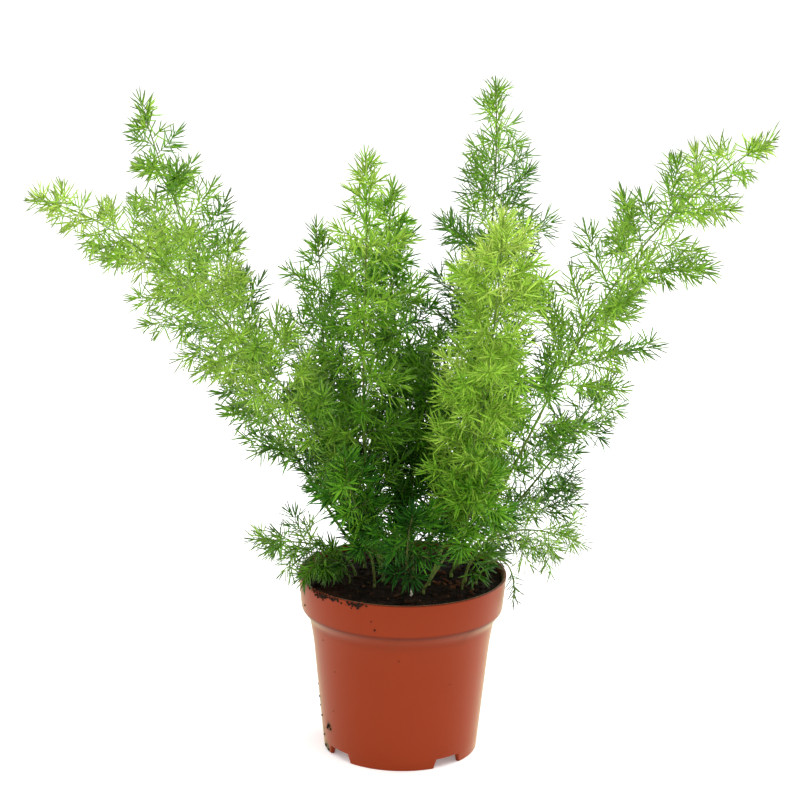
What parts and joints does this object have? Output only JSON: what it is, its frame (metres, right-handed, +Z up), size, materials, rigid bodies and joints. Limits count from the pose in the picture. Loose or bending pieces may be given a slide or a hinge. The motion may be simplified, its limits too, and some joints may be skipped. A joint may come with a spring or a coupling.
{
  "type": "potted foxtail fern",
  "caption": "Foxtail fern with arching, needle-leaved plumes growing from peat in a tapered round nursery pot with a rim band and a notched foot.",
  "frame": {"origin": "on the ground under the middle of the pot", "axes": "+Z up, out of the pot; +X to the right and -Y to the front as the plant is seen; the plumes spread widest along X"},
  "size_m": [0.4145, 0.1852, 0.388],
  "materials": {
    "pot": "terracotta-coloured moulded plastic, satin",
    "soil": "dark damp peat with small crumbs",
    "foliage": "fresh green stems and needles, slightly glossy"
  },
  "bodies": {
    "root": {"pot": "pot", "soil": "soil", "frond_far_left": "foliage", "frond_inner_left": "foliage", "frond_left_centre": "foliage", "frond_centre": "foliage", "frond_behind_centre": "foliage", "frond_tall": "foliage", "frond_front": "foliage", "frond_right": "foliage", "frond_right_low": "foliage", "spray_right": "foliage", "spray_left": "foliage", "sprig_middle": "foliage", "sprig_front_left": "foliage", "sprig_front": "foliage", "sprig_front_right": "foliage", "tuft_right": "foliage", "tuft_left": "foliage", "sprig_back_left": "foliage", "sprig_back_right": "foliage", "tuft_over_lip": "foliage"}
  },
  "joints": []
}
